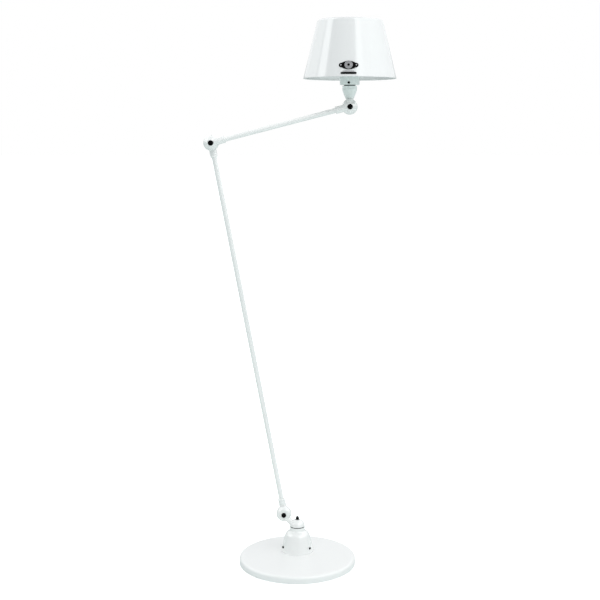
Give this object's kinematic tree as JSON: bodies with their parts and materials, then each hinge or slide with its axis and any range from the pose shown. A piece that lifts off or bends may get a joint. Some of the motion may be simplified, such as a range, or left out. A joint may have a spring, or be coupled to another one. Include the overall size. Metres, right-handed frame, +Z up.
{
  "type": "floor lamp",
  "caption": "Adjustable arm floor lamp: weighted round base, swivelling bell pedestal, long and short arms on clamped ball knuckles, and a tapered metal shade on a tilting neck.",
  "frame": {"origin": "centre of the round base, on the floor", "axes": "+Z up; +X towards the side the short arm points to at rest; -Y the front, where the dome nuts and the badge are; the swivel axis stands 30 mm behind the origin"},
  "size_m": [0.3935, 0.2634, 1.1271],
  "materials": {
    "white_enamel": "gloss",
    "shade_enamel": "gloss",
    "base_enamel": "satin gloss",
    "iron": "raw cast",
    "felt": "felt",
    "rubber": "matt",
    "zinc_steel": "zinc plated",
    "black_steel": "black oxide, satin",
    "fibre": "matt fibre",
    "lead_pvc": "matt",
    "brass": "satin",
    "porcelain": "glazed",
    "ring_plastic": "moulded",
    "opal_glass": "opal",
    "badge_black": "gloss enamel",
    "badge_metal": "turned"
  },
  "bodies": {
    "base": {"base_cover": "base_enamel", "base_weight": "iron", "base_felt": "felt", "cable_grommet": "rubber", "mount_ring": "zinc_steel", "ring_screws": "zinc_steel", "pedestal_bell": "white_enamel", "bell_screws": "black_steel", "swivel_bolt": "zinc_steel", "swivel_spring_washer": "zinc_steel", "swivel_friction_disc": "fibre", "swivel_cap_nut": "black_steel"},
    "swivel": {"swivel_link": "white_enamel", "lower_friction_disc": "fibre", "lower_bolt": "zinc_steel", "lower_spring_washer": "zinc_steel", "lower_cap_nut": "black_steel"},
    "long_arm": {"lower_arm_socket": "white_enamel", "long_tube": "white_enamel", "long_arm_lead": "lead_pvc", "elbow_rear_socket": "white_enamel"},
    "short_arm": {"elbow_front_socket": "white_enamel", "elbow_friction_disc": "fibre", "elbow_bolt": "zinc_steel", "elbow_spring_washer": "zinc_steel", "elbow_cap_nut": "black_steel", "short_tube": "white_enamel", "short_arm_lead": "lead_pvc", "head_front_socket": "white_enamel", "head_friction_disc": "fibre", "head_bolt": "zinc_steel", "head_spring_washer": "zinc_steel", "head_cap_nut": "black_steel"},
    "head": {"head_neck": "white_enamel", "socket_cup": "white_enamel", "holder_washer": "fibre", "holder_nipple": "brass", "nipple_nut": "brass", "collar": "white_enamel", "collar_screw": "black_steel", "lampholder_body": "porcelain", "lampholder_shell": "brass", "lampholder_contact": "brass", "bulb_cap": "zinc_steel", "bulb_glass": "opal_glass", "shade_spider": "white_enamel", "shade_ring": "ring_plastic", "shade": "shade_enamel", "badge_plate": "badge_black", "badge_medallion": "badge_metal", "badge_rivets": "badge_metal", "badge_strip": "badge_metal", "badge_bar": "badge_black"}
  },
  "joints": [
    {"name": "base_swivel", "type": "hinge", "parent": "base", "child": "swivel", "pos_m": [0, 0.03, 0.0683], "axis": [0, 0, 1], "range_deg": [-170, 170]},
    {"name": "lower_tilt", "type": "hinge", "parent": "swivel", "child": "long_arm", "pos_m": [-0.0289, 0.0381, 0.0946], "axis": [0, 1, 0], "range_deg": [-40, 60]},
    {"name": "elbow_tilt", "type": "hinge", "parent": "long_arm", "child": "short_arm", "pos_m": [-0.17606, 0.0381, 0.88095], "axis": [0, 1, 0], "range_deg": [-86, 45]},
    {"name": "head_tilt", "type": "hinge", "parent": "short_arm", "child": "head", "pos_m": [0.10676, 0.0381, 0.95357], "axis": [0, 1, 0], "range_deg": [-38, 120]}
  ]
}
